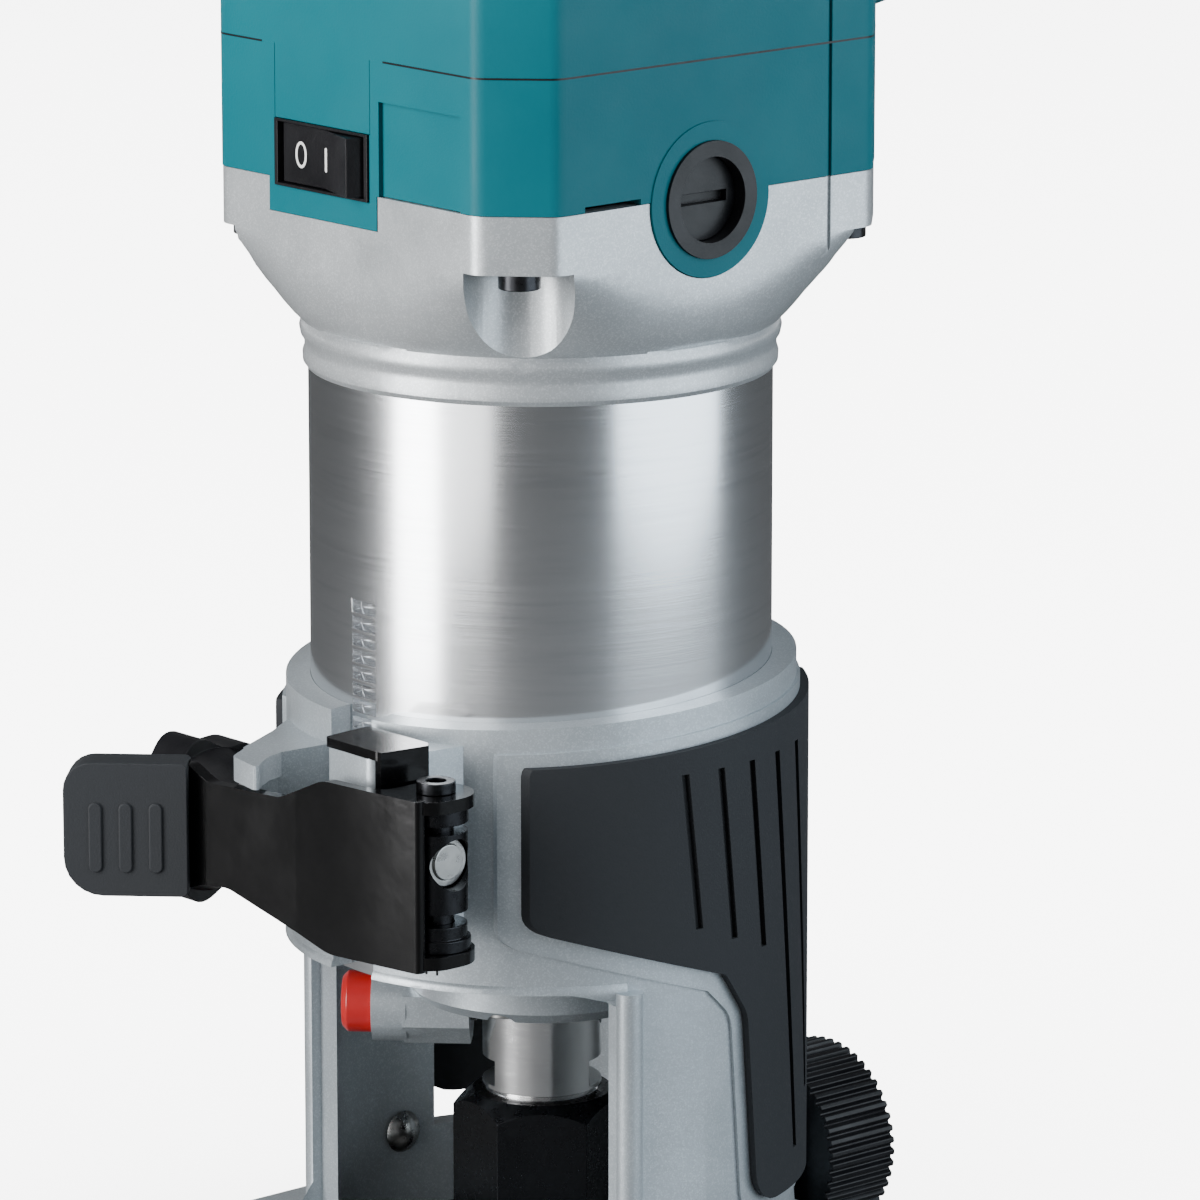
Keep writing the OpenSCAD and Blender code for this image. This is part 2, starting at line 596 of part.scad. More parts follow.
module bearing_ring(ro, ri, z0, z1, groove, ball) {
    difference() {
        tube(ro, ri, z0, z1);
        translate([0, 0, (z0 + z1) / 2]) rotate_extrude($fn = 96)
            translate([groove, 0]) circle(r = ball, $fn = 32);
    }
}
module upper_bearing_outer() color("silver") bearing_ring(11, 9.1, 181.5, 188.5, 7.5, 2);
module upper_bearing_inner() color("silver") bearing_ring(5.9, 4, 181.5, 188.5, 7.5, 2);
module upper_bearing_balls() color("silver") for (a = [0:45:315]) rotate([0, 0, a])
    translate([7.5, 0, 185]) sphere(r = 1.95, $fn = 32);
module lower_bearing_outer() color("silver") bearing_ring(14, 11.4, 60, 68, 10, 2.2);
module lower_bearing_inner() color("silver") bearing_ring(8.4, 6, 60, 68, 10, 2.2);
module lower_bearing_balls() color("silver") for (a = [0:40:320]) rotate([0, 0, a])
    translate([10, 0, 64]) sphere(r = 2.15, $fn = 32);

// ---------- nose, spindle lock and collet ----------
module lock_axis() {
    rotate([0, 0, 135]) translate([0, 0, lock_z]) along_x() children();
}

module bearing_retainer() color("silver") difference() {
    union() {
        turned([[0, 48.7], [17.6, 48.7], [19, 50.2], [19, barrel_z], [14, barrel_z], [14, 60], [0, 60]]);
        lock_axis() {
            rotate([0, 0, 22.5]) rod(5.9, 10, 19.5, $fn = 8);
            rod(5.6, 19, 24);
        }
    }
    rod(9.2, 30, 56);
    rod(11.2, 56, 61);
    lock_axis() {
        rod(2.5 + slide_gap, 5, 25);
        rod(4.4 + slide_gap, 15, 25);
    }
    for (a = [90:120:330]) rotate([0, 0, a]) translate([16.4, 0, 0]) {
        rod(1.4, 40, 58);
        rod(2.3, 40, 51.5);
    }
}

module retainer_screws() color("dimgray") for (a = [90:120:330]) rotate([0, 0, a])
    translate([16.4, 0, 0]) difference() {
    union() {
        rod(2.2, 49.3, 51.5);
        rod(1.3, 51.4, 62);
    }
    translate([-1.5, -0.3, 49]) cube([3, 0.6, 1]);
}

module lock_pin() color("silver") lock_axis() rod(2.5, 9.2, 24);
module lock_spring() color("silver") lock_axis() translate([0, 0, 15.1]) coil(3.5, 0.35, 7, 4);
module lock_button() color([0.85, 0.15, 0.15]) lock_axis() difference() {
    turned([[0, 22.2], [4.4, 22.2], [4.4, 27.6], [3.6, 28.4], [0, 28.6]]);
    rod(2.5, 20, 24);
}

module collet() color("lightgray") difference() {
    turned([[0, 10.5], [6.3, 10.5], [6.3, 15.5], [5.6, 16.4], [5.6, 17.2], [5.97, 18], [4.45, 31], [0, 31]]);
    rod(collet_bore / 2, 0, 40);
    for (a = [0, 90]) rotate([0, 0, a]) translate([-10, -0.4, 0]) cube([20, 0.8, 27]);
}

module collet_nut() color([0.12, 0.12, 0.13]) difference() {
    intersection() {
        rotate([0, 0, 19]) translate([0, 0, nut_z0])
            cylinder(r = nut_af / sqrt(3), h = nut_z1 - nut_z0, $fn = 6);
        turned([[0, nut_z0], [11.4, nut_z0], [12.8, nut_z0 + 1.2], [12.8, nut_z1 - 2.6],
            [9.9, nut_z1], [0, nut_z1]]);
    }
    rod(8 + slide_gap, 17.5, nut_z1 + 1);
    rod(6.35, 0, 20);
}

base_casting();
base_plate();
plate_screws();
grip_pad_right();
grip_pad_left();
pad_rivets();
clamp_saddle();
clamp_bolt();
clamp_nut();
trunnion();
clamp_lever();
lever_grip();
lever_rivets();
pinion_shaft();
depth_knob();
guide_screw();
guide_knob();
motor_barrel();
motor_flange();
lower_housing();
top_cover();
housing_screws();
badge();
cord_gland();
switch_body();
switch_rocker();
speed_dial();
speed_controller();
end_frame();
brush_holders();
brush_caps();
carbon_brushes();
brush_springs();
stator_core();
stator_windings();
fan_baffle();
cooling_fan();
armature_shaft();
armature_core();
armature_windings();
commutator();
upper_bearing_outer();
upper_bearing_inner();
upper_bearing_balls();
lower_bearing_outer();
lower_bearing_inner();
lower_bearing_balls();
bearing_retainer();
retainer_screws();
lock_pin();
lock_spring();
lock_button();
collet();
collet_nut();
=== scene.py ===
"""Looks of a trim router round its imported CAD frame: materials, edges, small details, light and camera.

Lengths are in metres in the frame's own axes: +Z along the spindle, -X towards the lever and the switch,
-Y towards the badge.
"""

import json
import math

import bmesh
import bpy
from mathutils import Matrix, Vector


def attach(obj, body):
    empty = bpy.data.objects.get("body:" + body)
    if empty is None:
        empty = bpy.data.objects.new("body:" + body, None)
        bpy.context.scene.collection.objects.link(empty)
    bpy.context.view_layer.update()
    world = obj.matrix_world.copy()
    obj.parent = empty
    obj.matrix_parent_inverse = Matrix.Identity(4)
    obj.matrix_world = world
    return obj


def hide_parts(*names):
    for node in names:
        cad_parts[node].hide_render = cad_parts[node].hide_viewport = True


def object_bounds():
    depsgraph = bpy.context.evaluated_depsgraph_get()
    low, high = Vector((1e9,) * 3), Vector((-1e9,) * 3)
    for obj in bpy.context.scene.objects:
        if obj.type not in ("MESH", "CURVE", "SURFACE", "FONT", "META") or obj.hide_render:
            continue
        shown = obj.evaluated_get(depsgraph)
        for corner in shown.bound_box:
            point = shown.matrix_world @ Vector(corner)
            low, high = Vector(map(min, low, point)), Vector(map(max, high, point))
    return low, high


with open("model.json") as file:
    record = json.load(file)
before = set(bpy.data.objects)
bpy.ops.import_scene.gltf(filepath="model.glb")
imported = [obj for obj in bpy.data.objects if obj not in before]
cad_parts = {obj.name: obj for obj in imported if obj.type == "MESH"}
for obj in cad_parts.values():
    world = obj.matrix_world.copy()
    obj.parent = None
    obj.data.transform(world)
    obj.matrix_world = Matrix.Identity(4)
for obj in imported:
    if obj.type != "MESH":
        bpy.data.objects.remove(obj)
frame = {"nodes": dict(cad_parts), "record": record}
cad_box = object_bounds()
nodes = frame["nodes"]
MM = 0.001


# ---------- material graph helper ----------
class Finish:
    """A Principled material with a few procedural layers, in the object's own coordinates in metres."""

    def __init__(self, name, color, roughness, metallic=0.0, **constants):
        self.material = bpy.data.materials.new(name)
        self.material.use_nodes = True
        self.tree = self.material.node_tree
        self.shader = self.tree.nodes["Principled BSDF"]
        self.color = (*color, 1.0)
        self.roughness = roughness
        self.set(**{"Base Color": self.color, "Roughness": roughness, "Metallic": metallic}, **constants)
        self.place = self.add("ShaderNodeTexCoord").outputs["Object"]
        self.height = None

    def set(self, **values):
        for name, value in values.items():
            self.shader.inputs[name].default_value = value

    def add(self, kind, **settings):
        node = self.tree.nodes.new(kind)
        for name, value in settings.items():
            setattr(node, name, value)
        return node

    def feed(self, node, **values):
        for name, value in values.items():
            socket = node.inputs[name.replace("_", " ")]
            if isinstance(value, bpy.types.NodeSocket):
                self.tree.links.new(value, socket)
            else:
                socket.default_value = value
        return node

    def stretched(self, scale):
        """Coordinates scaled by a different factor along each axis."""
        mapping = self.feed(self.add("ShaderNodeMapping"), Vector=self.place)
        mapping.inputs["Scale"].default_value = scale
        return mapping.outputs["Vector"]

    def noise(self, scale, detail=3.0, vector=None, rough=0.5):
        node = self.add("ShaderNodeTexNoise")
        self.feed(node, Vector=vector or self.place, Scale=scale, Detail=detail, Roughness=rough)
        return node.outputs["Fac"]

    def cells(self, scale):
        """A random value for each small cell, such as a metal flake."""
        node = self.feed(self.add("ShaderNodeTexVoronoi"), Vector=self.place, Scale=scale)
        split = self.add("ShaderNodeSeparateColor")
        self.tree.links.new(node.outputs["Color"], split.inputs["Color"])
        return split.outputs["Red"]

    def between(self, value, low, high, start=0.0, stop=1.0):
        node = self.add("ShaderNodeMapRange")
        self.tree.links.new(value, node.inputs["Value"])
        node.inputs["From Min"].default_value = start
        node.inputs["From Max"].default_value = stop
        node.inputs["To Min"].default_value = low
        node.inputs["To Max"].default_value = high
        return node.outputs["Result"]

    def vary_color(self, value, other, low=0.3, high=0.7):
        """Mixes the base colour towards another where value is high."""
        mix = self.add("ShaderNodeMix", data_type="RGBA")
        self.tree.links.new(self.between(value, 0.0, 1.0, low, high), mix.inputs["Factor"])
        last = self.shader.inputs["Base Color"]
        if last.is_linked:
            self.tree.links.new(last.links[0].from_socket, mix.inputs["A"])
        else:
            mix.inputs["A"].default_value = self.color
        mix.inputs["B"].default_value = (*other, 1.0)
        self.tree.links.new(mix.outputs["Result"], last)
        return self

    def vary_roughness(self, value, spread, low=0.3, high=0.7):
        rough = self.between(value, self.roughness - spread, self.roughness + spread, low, high)
        self.tree.links.new(rough, self.shader.inputs["Roughness"])
        return self

    def bump(self, value, depth):
        """Relief of the given depth in metres; several calls add up."""
        node = self.add("ShaderNodeBump")
        node.inputs["Distance"].default_value = depth
        self.tree.links.new(value, node.inputs["Height"])
        if self.height:
            self.tree.links.new(self.height, node.inputs["Normal"])
        self.height = node.outputs["Normal"]
        self.tree.links.new(self.height, self.shader.inputs["Normal"])
        return self


# ---------- materials, one for each slot of the record ----------
def cast_paint(name, color, pale, dark):
    """Silver paint with fine metal flake over a cast surface."""
    f = Finish(name, color, 0.36, metallic=0.55, **{"Coat Weight": 0.25, "Coat Roughness": 0.3})
    f.vary_color(f.cells(5200.0), pale, 0.55, 1.0)
    f.vary_color(f.noise(38.0, 4.0), dark, 0.45, 1.1)
    f.vary_roughness(f.noise(120.0, 3.0), 0.05)
    f.bump(f.noise(900.0, 2.0), 0.00003)
    f.bump(f.noise(5200.0, 1.0), 0.000012)
    return f


def base_paint():
    return cast_paint("base_paint", (0.44, 0.485, 0.515), (0.56, 0.61, 0.64), (0.37, 0.41, 0.44))


def flange_paint():
    return cast_paint("flange_paint", (0.44, 0.465, 0.48), (0.58, 0.605, 0.62), (0.37, 0.395, 0.41))


def barrel_aluminium():
    f = Finish("barrel_aluminium", (0.86, 0.88, 0.90), 0.17, metallic=1.0, Anisotropic=0.75)
    tangent = f.add("ShaderNodeTangent", direction_type="RADIAL", axis="Z")
    f.tree.links.new(tangent.outputs["Tangent"], f.shader.inputs["Tangent"])
    turned = f.noise(1.0, 3.0, f.stretched((25.0, 25.0, 9000.0)))
    f.vary_roughness(turned, 0.03)
    f.vary_color(f.noise(1.0, 4.0, f.stretched((60.0, 60.0, 1200.0))), (0.78, 0.80, 0.83), 0.5, 0.8)
    f.bump(turned, 0.0000012)
    return f


def teal_plastic():
    f = Finish("teal_plastic", (0.0006, 0.110, 0.138), 0.42, **{"Specular IOR Level": 0.14})
    f.vary_color(f.noise(45.0, 3.0), (0.0026, 0.126, 0.154), 0.4, 0.75)
    f.vary_roughness(f.noise(160.0, 3.0), 0.04)
    f.bump(f.noise(2600.0, 2.0), 0.00002)
    return f


def black_plastic():
    f = Finish("black_plastic", (0.004, 0.004, 0.005), 0.34, **{"Specular IOR Level": 0.25})
    f.vary_color(f.noise(90.0, 3.0), (0.010, 0.010, 0.012), 0.4, 0.8)
    f.vary_roughness(f.noise(240.0, 3.0), 0.06)
    f.bump(f.noise(2400.0, 2.0), 0.000015)
    return f


def black_steel():
    gloss = {"Specular IOR Level": 0.28, "Coat Weight": 0.12, "Coat Roughness": 0.03}
    f = Finish("black_steel", (0.0012, 0.0012, 0.0014), 0.16, **gloss)
    f.vary_roughness(f.noise(150.0, 3.0), 0.04)
    f.bump(f.noise(420.0, 2.0), 0.00003)
    return f


def pad_rubber():
    f = Finish("pad_rubber", (0.016, 0.018, 0.021), 0.70, **{"Specular IOR Level": 0.35})
    f.vary_color(f.noise(60.0, 4.0), (0.016, 0.018, 0.021), 0.4, 0.8)
    f.bump(f.noise(3800.0, 2.0), 0.00004)
    return f


def steel(name, color, roughness, stretch, depth):
    """Machined steel with tool marks round Z."""
    f = Finish(name, color, roughness, metallic=1.0)
    marks = f.noise(1.0, 3.0, f.stretched(stretch))
    f.vary_roughness(marks, 0.06)
    f.vary_color(f.noise(140.0, 4.0), tuple(c * 0.8 for c in color), 0.5, 0.9)
    return f.bump(marks, depth)


def bright_steel():
    return steel("bright_steel", (0.66, 0.66, 0.66), 0.20, (200.0, 200.0, 4200.0), 0.000005)


def zinc():
    return steel("zinc", (0.42, 0.42, 0.41), 0.30, (700.0, 700.0, 700.0), 0.00002)


def black_oxide():
    return steel("black_oxide", (0.030, 0.031, 0.034), 0.30, (900.0, 900.0, 900.0), 0.00002)


def red_plastic():
    f = Finish("red_plastic", (0.55, 0.014, 0.014), 0.32, **{"Coat Weight": 0.3, "Coat Roughness": 0.2})
    f.vary_color(f.noise(200.0, 3.0), (0.46, 0.011, 0.011), 0.4, 0.9)
    return f.bump(f.noise(2200.0, 2.0), 0.000012)


def badge_white():
    f = Finish("badge_white", (0.80, 0.80, 0.78), 0.30, **{"Coat Weight": 0.4, "Coat Roughness": 0.15})
    f.vary_color(f.noise(150.0, 3.0), (0.74, 0.74, 0.72), 0.4, 0.9)
    return f.bump(f.noise(1500.0, 2.0), 0.00001)


def copper():
    enamel = {"Coat Weight": 0.6, "Coat Roughness": 0.2}
    f = Finish("copper", (0.62, 0.24, 0.11), 0.30, metallic=1.0, **enamel)
    wires = f.noise(1.0, 1.0, f.stretched((260.0, 1800.0, 260.0)))
    f.vary_color(wires, (0.34, 0.10, 0.04), 0.35, 0.65)
    return f.bump(wires, 0.00015)


def lamination():
    f = Finish("lamination", (0.24, 0.25, 0.27), 0.42, metallic=1.0)
    sheets = f.noise(1.0, 1.0, f.stretched((2.0, 2.0, 2600.0)))
    f.vary_color(sheets, (0.10, 0.10, 0.11), 0.4, 0.7)
    return f.bump(sheets, 0.00008)


def carbon():
    f = Finish("carbon", (0.02, 0.02, 0.021), 0.55)
    f.vary_color(f.noise(1200.0, 3.0), (0.05, 0.05, 0.052), 0.4, 0.8)
    return f.bump(f.noise(2600.0, 2.0), 0.00002)


def natural_plastic():
    f = Finish("natural_plastic", (0.66, 0.63, 0.52), 0.45, **{"Subsurface Weight": 0.1})
    f.vary_color(f.noise(80.0, 3.0), (0.58, 0.55, 0.45), 0.4, 0.8)
    return f.bump(f.noise(1800.0, 2.0), 0.00002)


def circuit_green():
    f = Finish("circuit_green", (0.015, 0.14, 0.06), 0.35, **{"Coat Weight": 0.6, "Coat Roughness": 0.15})
    f.vary_color(f.noise(600.0, 2.0), (0.02, 0.22, 0.09), 0.5, 0.6)
    return f.bump(f.noise(600.0, 2.0), 0.00003)


FINISHES = {
    make.__name__: make().material
    for make in (
        base_paint, flange_paint, barrel_aluminium, teal_plastic, black_plastic, black_steel, pad_rubber,
        bright_steel, zinc, black_oxide, red_plastic, badge_white, copper, lamination, carbon,
        natural_plastic, circuit_green,
    )
}


def coat(obj, slot):
    """Gives a mesh the one material made for the record's slot it belongs to."""
    obj.data.materials.clear()
    obj.data.materials.append(FINISHES[slot])


# ---------- softened edges on the CAD nodes ----------
SHARP = math.radians(32)
BEVELS = {  # edge radius in millimetres; nodes not named here get BEVEL_USUAL
    "base_casting": 0.35, "base_plate": 0.8, "lower_housing": 0.35, "top_cover": 0.35, "motor_flange": 0.3,
    "motor_barrel": 0.12, "clamp_lever": 0.3, "lever_grip": 0.6, "depth_knob": 0.4, "guide_knob": 0.25,
}
BEVEL_USUAL = 0.15


def round_edges(obj, width, segments=2):
    """Bevels the sharp edges of a mesh by a width in metres."""
    bevel = obj.modifiers.new("bevel", "BEVEL")
    bevel.limit_method = "ANGLE"
    bevel.angle_limit = SHARP
    bevel.width = width
    bevel.segments = segments
    bevel.harden_normals = True


def shade_smooth(mesh):
    for polygon in mesh.polygons:
        polygon.use_smooth = True
    mesh.set_sharp_from_angle(angle=SHARP)


def soften(obj, width):
    """Merges a CAD mesh's flat triangles and rounds its edges by a width in millimetres."""
    mesh = obj.data
    if "custom_normal" in mesh.attributes:
        mesh.attributes.remove(mesh.attributes["custom_normal"])
    mesh.polygons.foreach_set("use_smooth", [True] * len(mesh.polygons))
    weld = obj.modifiers.new("weld", "WELD")
    weld.merge_threshold = 0.000002
    flat = obj.modifiers.new("flat", "DECIMATE")
    flat.decimate_type = "DISSOLVE"
    flat.angle_limit = math.radians(0.4)
    round_edges(obj, width * MM)


for part in frame["record"]["subparts"]:
    node = nodes[part["node"]]
    coat(node, part["material_slot"])
    soften(node, BEVELS.get(part["node"], BEVEL_USUAL))


# ---------- small pieces on the CAD frame ----------
def new_piece(name, slot, body, bm, edge=0.0):
    """Turns a bmesh into a piece that rides on a body and takes its finish from a slot."""
    mesh = bpy.data.meshes.new(name)
    bmesh.ops.recalc_face_normals(bm, faces=bm.faces)
    bm.to_mesh(mesh)
    bm.free()
    obj = bpy.data.objects.new(name, mesh)
    bpy.context.scene.collection.objects.link(obj)
    coat(obj, slot)
    shade_smooth(mesh)
    if edge:
        round_edges(obj, edge, 3)
    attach(obj, body)
    return obj


def add_prism(bm, outline, frame_matrix, low, high):
    """Extrudes a 2D outline from low to high along the frame's Z."""
    rings = [[bm.verts.new(frame_matrix @ Vector((x, y, z))) for x, y in outline] for z in (low, high)]
    count = len(outline)
    bm.faces.new(list(reversed(rings[0])))
    bm.faces.new(rings[1])
    for i in range(count):
        j = (i + 1) % count
        bm.faces.new((rings[0][i], rings[0][j], rings[1][j], rings[1][i]))


def join_loops(bm, loops, skipped=()):
    """Faces between each loop of points and the next, last to first, except at the skipped points."""
    count = len(loops[0])
    for below, above in zip(loops, loops[1:] + loops[:1]):
        for i in range(count):
            j = (i + 1) % count
            if i not in skipped and j not in skipped:
                bm.faces.new((below[i], below[j], above[j], above[i]))


def add_ring(bm, outer, inner, frame_matrix, low, high, steps=48):
    """A flat oval ring; each radius is an (x, y) pair."""
    loops = []
    for (rx, ry), z in ((outer, low), (outer, high), (inner, high), (inner, low)):
        turn = (2 * math.pi * i / steps for i in range(steps))
        points = (frame_matrix @ Vector((rx * math.cos(a), ry * math.sin(a), z)) for a in turn)
        loops.append([bm.verts.new(point) for point in points])
    join_loops(bm, loops)


def at(angle, radius, z):
    """Point at an angle and a radius round the spindle; millimetres in, metres out."""
    return Vector((radius * math.cos(angle), radius * math.sin(angle), z)) * MM


def pill(width, length, steps=10):
    """Outline of a bar with round ends, its length along Y."""
    r, straight = width / 2, length / 2 - width / 2
    turn = [math.pi * i / steps for i in range(steps + 1)]
    top = [(r * math.cos(a), straight + r * math.sin(a)) for a in turn]
    return top + [(-x, -y) for x, y in top]


def facing(origin, normal, up=(0, 0, 1)):
    """Frame whose Z is the normal of a face and whose Y points up along it."""
    z = Vector(normal).normalized()
    x = Vector(up).cross(z).normalized()
    return Matrix.Translation(origin) @ Matrix((x, z.cross(x), z)).transposed().to_4x4()


# ---------- smooth metal flange under the head ----------
# All sizes here are in millimetres, and profiles are (height, radius) pairs.
NECK = [
    (139.9, 32.7), (140.6, 33.2), (141.6, 33.25), (142.6, 32.95), (143.6, 33.0), (144.4, 33.5), (145.4, 33.7),
    (146.2, 33.5), (146.7, 33.3),
]
BELL = [
    (146.9, 33.6), (148.2, 34.9), (149.6, 36.1), (151.0, 37.2), (152.5, 38.5), (154.3, 40.1), (156.2, 41.7),
    (158.0, 43.1), (159.4, 44.0), (159.95, 44.3),
]
RIM = [160.0, 162.0, 165.0, 167.9]  # heights where the flange has the head's full plan
WALL = 3.2
INSIDE = [(163.2, 29.0), (147.0, 29.0), (139.9, 30.2)]
BLEND = 5.0  # width over which bell and plan run into each other
HEAD_FLATS = (38.2, 46.15, 34.9, 43.8, 34.9, 43.8, 34.9, 46.15)  # each flat's distance, 45 degrees apart
HEAD_ROUND = 3.3
POSTS = [(32.3, 29.0), (-29.0, 29.0), (-29.0, -29.0), (32.3, -29.0)]
SCOOP_R = 7.5
BRUSH_R, BRUSH_Z, BRUSH_DEPTH = 10.85, 167.3, 26.0
SWITCH_NOTCH = (-40.0, -28.0, -6.6, 16.6, 163.1)  # x from and to, y from and to, lower end
CASE_GROOVE = (21.9, 22.6, -40.0, -34.5, 150.0)
SEAM_Z = 186.5
# sizes of the black band of painted shadow that stands in for the shade in the seam's gap
SEAM_PROUD, SEAM_SUNK, SEAM_HALF = 0.13, 0.03, 0.14
TONGUE = (-6.0, 16.0)
SWITCH_FACE_X = -34.8


def head_outline():
    """Plan of the head as (angle, radius) pairs: flats and cut corners, rounded where they meet."""
    points = []
    for k, near in enumerate(HEAD_FLATS):
        a, b = math.radians(45 * k), math.radians(45 * k + 45)
        p, q = near - HEAD_ROUND, HEAD_FLATS[(k + 1) % 8] - HEAD_ROUND
        crossing = Vector((p * math.sin(b) - q * math.sin(a), q * math.cos(a) - p * math.cos(b)))
        centre = crossing / math.sin(b - a)
        turn = [a + t * (b - a) / 6 for t in range(7)]
        arc = [centre + HEAD_ROUND * Vector((math.cos(t), math.sin(t))) for t in turn]
        if points:
            points += along(points[-1], arc[0])
        points += arc
    points += along(points[-1], points[0])
    return [(math.atan2(p.y, p.x), p.length) for p in points]


def along(start, end, step=2.0):
    """Points between two others, about a step apart."""
    count = max(1, round((end - start).length / step))
    return [start.lerp(end, i / count) for i in range(1, count)]


def soft_least(a, b, blend):
    """The lesser of two radii, rounded where they meet."""
    near = max(blend - abs(a - b), 0.0) / blend
    return min(a, b) - near * near * blend / 4


def box_outline(x0, x1, y0, y1):
    return [(x0, y0), (x1, y0), (x1, y1), (x0, y1)]


def flange_cutters():
    """Scoops under the posts, brush holes, the switch's notch and the case's groove."""
    bm = bmesh.new()
    for x, y in POSTS:
        scoop = Matrix.Translation(Vector((x, y, 0)) * MM)
        add_prism(bm, circle(SCOOP_R * MM, 48), scoop, 136 * MM, 159.9 * MM)
    for side in (-1, 1):
        hole = facing(Vector((0, side * BRUSH_DEPTH, BRUSH_Z)) * MM, (0, side, 0))
        add_prism(bm, circle(BRUSH_R * MM, 64), hole, 0.0, 14 * MM)
    for x0, x1, y0, y1, low in (SWITCH_NOTCH, CASE_GROOVE):
        add_prism(bm, box_outline(x0 * MM, x1 * MM, y0 * MM, y1 * MM), Matrix(), low * MM, 175 * MM)
    return bm


def flange_shell():
    outline = head_outline()
    rows = [[(a, radius, z) for a, _ in outline] for z, radius in NECK]
    for z, bell in BELL:
        blend = BLEND if z < 156 else max(0.05, BLEND * (160.0 - z) / 4.0)
        rows.append([(a, soft_least(bell, plan, blend), z) for a, plan in outline])
    rows += [[(a, plan, z) for a, plan in outline] for z in RIM]
    # the inside: down the wall from the rim to the neck
    rows += [[(a, plan - WALL, z) for a, plan in outline] for z in (RIM[-1], INSIDE[0][0])]
    rows += [[(a, radius, z) for a, _ in outline] for z, radius in INSIDE]
    bm = bmesh.new()
    join_loops(bm, [[bm.verts.new(at(*point)) for point in row] for row in rows])
    piece = new_piece("flange_shell", "flange_paint", "motor", bm)
    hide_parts("motor_flange")
    cut(piece, flange_cutters())
    round_edges(piece, BEVELS["motor_flange"] * MM)


def circle(radius, steps):
    return [(radius * math.cos(2 * math.pi * i / steps), radius * math.sin(2 * math.pi * i / steps))
            for i in range(steps)]


def cut(piece, cutters):
    """Removes the cutters' volume from a piece and keeps the result as its mesh."""
    bmesh.ops.recalc_face_normals(cutters, faces=cutters.faces)
    mesh = bpy.data.meshes.new("cutters")
    cutters.to_mesh(mesh)
    cutters.free()
    tool = bpy.data.objects.new("cutters", mesh)
    bpy.context.scene.collection.objects.link(tool)
    difference = piece.modifiers.new("cut", "BOOLEAN")
    difference.operation = "DIFFERENCE"
    difference.solver = "EXACT"
    difference.object = tool
    graph = bpy.context.evaluated_depsgraph_get()
    result = bpy.data.meshes.new_from_object(piece.evaluated_get(graph))
    piece.modifiers.remove(difference)
    piece.data = result
    bpy.data.objects.remove(tool)
    shade_smooth(result)


flange_shell()


# ---------- marks on the switch, the lever's grip, the depth scale, and painted shadow along the seam ---
# All sizes here are in millimetres.
MARK_PROUD = 0.03
ROCKER_Z = 171.6
RIDGE_PITCH, RIDGE_WIDTH, RIDGE_LENGTH = 4.2, 1.9, 10.0
GRIP_MIDDLE = Vector((-58.6, 19.8, 78.0))
GRIP_HALF_THICK = 2.9
TICK_ANGLE, TICK_PITCH, TICK_RADIUS, TICK_FOOT = 195, 2.6, 36.0, 60.0
TICK_HEIGHTS = (1.6, 1.0, 1.0, 1.0, 1.6)
TICK_WIDTH = 0.35


def switch_marks():
    bm = bmesh.new()
    at_off = facing(Vector((-34.7, 9.9, ROCKER_Z)) * MM, (-1, 0, 0))
    add_ring(bm, (1.2 * MM, 1.85 * MM), (0.8 * MM, 1.45 * MM), at_off, -0.15 * MM, MARK_PROUD * MM)
    new_piece("switch_off_mark", "badge_white", "rocker", bm)
    bm = bmesh.new()
    at_on = facing(Vector((-35.0, 4.2, ROCKER_Z)) * MM, (-1, 0, 0))
    add_prism(bm, pill(0.45 * MM, 3.4 * MM), at_on, -0.3 * MM, MARK_PROUD * MM)
    new_piece("switch_on_mark", "badge_white", "rocker", bm)


def grip_ridges():
    bm = bmesh.new()
    outward, sideways = Vector((-1, -1, 0)).normalized(), Vector((1, -1, 0)).normalized()
    face = GRIP_MIDDLE + outward * GRIP_HALF_THICK
    for k in (-1, 0, 1):
        middle = (face + sideways * RIDGE_PITCH * k) * MM
        ridge = pill(RIDGE_WIDTH * MM, RIDGE_LENGTH * MM)
        add_prism(bm, ridge, facing(middle, outward), -0.6 * MM, 0.35 * MM)
    new_piece("grip_ridges", "pad_rubber", "lever", bm, 0.25 * MM)


def scale_ticks():
    bm = bmesh.new()
    for k, height in enumerate(TICK_HEIGHTS):
        a = math.radians(TICK_ANGLE + TICK_PITCH * k)
        place = facing(at(a, TICK_RADIUS, TICK_FOOT + height / 2), (math.cos(a), math.sin(a), 0))
        add_prism(bm, pill(TICK_WIDTH * MM, height * MM, 4), place, -0.1 * MM, MARK_PROUD * MM)
    new_piece("scale_ticks", "black_plastic", "base", bm)


def seam_painted_shadow():
    """Painted shadow: a thin black band round the seam of the head that stands in for the shade in its gap,
    open where the top cover's tongue comes down.
    """
    bm = bmesh.new()
    outline = head_outline()
    sides = ((SEAM_SUNK, -1), (SEAM_PROUD, -1), (SEAM_PROUD, 1), (SEAM_SUNK, 1))
    loops = []
    for grow, end in sides:
        loops.append([bm.verts.new(at(a, r + grow, SEAM_Z + end * SEAM_HALF)) for a, r in outline])
    in_tongue = {
        i for i, (a, r) in enumerate(outline)
        if r * math.cos(a) < SWITCH_FACE_X and TONGUE[0] < r * math.sin(a) < TONGUE[1]
    }
    join_loops(bm, loops, in_tongue)
    bmesh.ops.delete(bm, geom=[v for v in bm.verts if not v.link_faces], context="VERTS")
    bmesh.ops.holes_fill(bm, edges=[e for e in bm.edges if e.is_boundary], sides=4)
    new_piece("seam_painted_shadow", "black_plastic", "motor", bm)


switch_marks()
grip_ridges()
scale_ticks()
# black band of painted shadow along the head's seam
seam_painted_shadow()


# ---------- floor, light and camera ----------
CAMERA_AZIMUTH = math.radians(-41.0)
CAMERA_DISTANCE = 1.040
CAMERA_HEIGHT = 0.345
AIM = Vector((0.0063, -0.0054, 0.1055))
LENS = 227.5


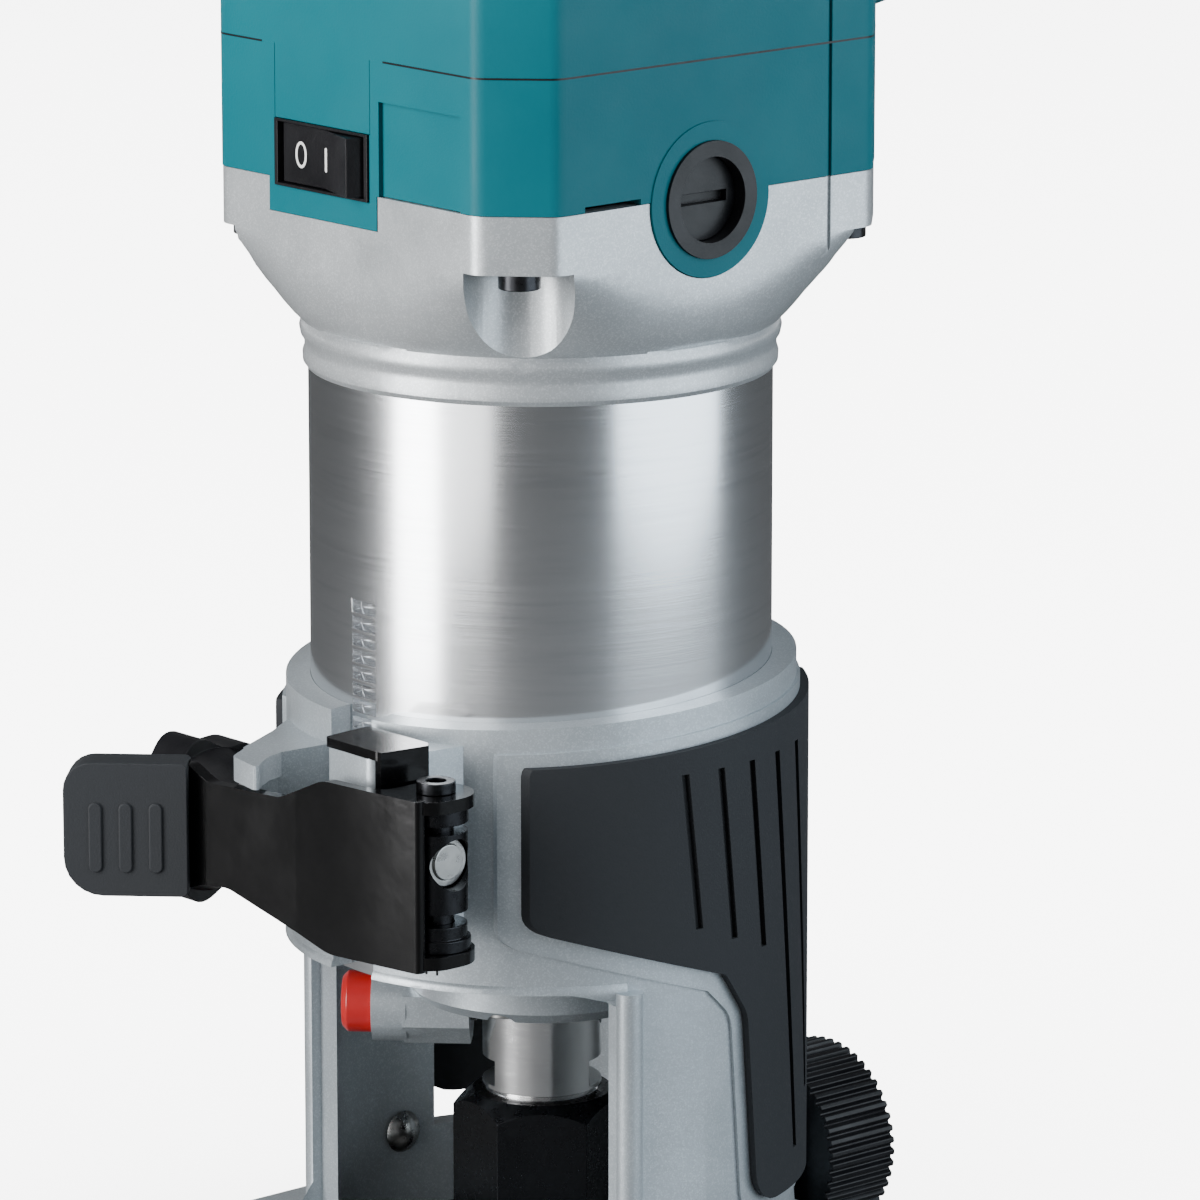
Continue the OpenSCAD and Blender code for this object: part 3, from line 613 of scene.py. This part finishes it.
def toward(azimuth, distance, height):
    """A point round the object; azimuth 0 looks along +Y and a positive one stands to its right."""
    return Vector((math.sin(azimuth) * distance, -math.cos(azimuth) * distance, height))


def aimed(obj, target):
    obj.rotation_euler = (target - obj.location).to_track_quat("-Z", "Y").to_euler()


def stage_plane(name, radius, height, shade, rough):
    bm = bmesh.new()
    bmesh.ops.create_circle(bm, cap_ends=True, segments=96, radius=radius)
    mesh = bpy.data.meshes.new(name)
    bm.to_mesh(mesh)
    bm.free()
    plane = bpy.data.objects.new(name, mesh)
    plane.location.z = height
    bpy.context.scene.collection.objects.link(plane)
    f = Finish(name, (shade, shade, shade), rough)
    f.vary_roughness(f.noise(3.0, 3.0), 0.04)
    mesh.materials.append(f.material)
    return plane


def studio_floor():
    """A pale floor, and a grey sheet over it that only reflections on the object see."""
    floor = stage_plane("studio_floor", 15.0, cad_box[0][2] - 0.0002, 0.88, 0.6)
    sheet = stage_plane("grey_sheet", 2.5, cad_box[0][2] - 0.0001, 0.16, 0.6)
    sheet.visible_camera = False
    sheet.visible_shadow = False
    floor.visible_diffuse = False
    return floor


def group(name, members):
    collection = bpy.data.collections.new(name)
    for member in members:
        collection.objects.link(member)
    return collection


def softbox(name, side, distance, height, width, tall, watts, color=(1.0, 1.0, 1.0), aim=None, lights=None):
    """Area light; side is its azimuth from the camera's, in degrees, positive to the camera's right."""
    light = bpy.data.lights.new(name, "AREA")
    light.shape = "RECTANGLE"
    light.size = width
    light.size_y = tall
    light.energy = watts
    light.color = color
    obj = bpy.data.objects.new(name, light)
    obj.location = toward(CAMERA_AZIMUTH + math.radians(side), distance, height)
    aimed(obj, Vector(aim) if aim else Vector((0, 0, height)))
    obj.visible_camera = False
    bpy.context.scene.collection.objects.link(obj)
    if lights:
        obj.light_linking.receiver_collection = lights


def studio():
    floor = studio_floor()
    only_floor = group("floor_only", [floor])
    others = [o for o in bpy.context.scene.objects if o.type == "MESH" and o != floor]
    only_object = group("object_only", others)
    softbox("key_left", -62.0, 0.42, 0.30, 0.17, 0.60, 3.4, lights=only_object)
    softbox("wide_left", -48.0, 0.55, 0.30, 0.50, 0.60, 2.6, lights=only_object)
    softbox("wide_right", 66.0, 0.55, 0.30, 0.62, 0.60, 4.4, (0.80, 0.91, 1.0), lights=only_object)
    softbox("overhead", 0.0, 0.05, 1.2, 1.0, 1.0, 4.0, aim=(0, 0, 0), lights=only_object)
    softbox("floor_wash", 0.0, 0.3, 3.0, 5.0, 5.0, 1900.0, aim=(0, 0, 0), lights=only_floor)
    world = bpy.data.worlds.new("studio")
    world.use_nodes = True
    world.node_tree.nodes["Background"].inputs["Color"].default_value = (0.93, 0.96, 1.0, 1.0)
    world.node_tree.nodes["Background"].inputs["Strength"].default_value = 0.16
    bpy.context.scene.world = world


def camera():
    data = bpy.data.cameras.new("camera")
    data.lens = LENS
    data.sensor_width = 36.0
    data.clip_start = 0.05
    data.clip_end = 100.0
    obj = bpy.data.objects.new("camera", data)
    obj.location = toward(CAMERA_AZIMUTH, CAMERA_DISTANCE, CAMERA_HEIGHT)
    aimed(obj, AIM)
    bpy.context.scene.collection.objects.link(obj)
    bpy.context.scene.camera = obj


studio()
camera()
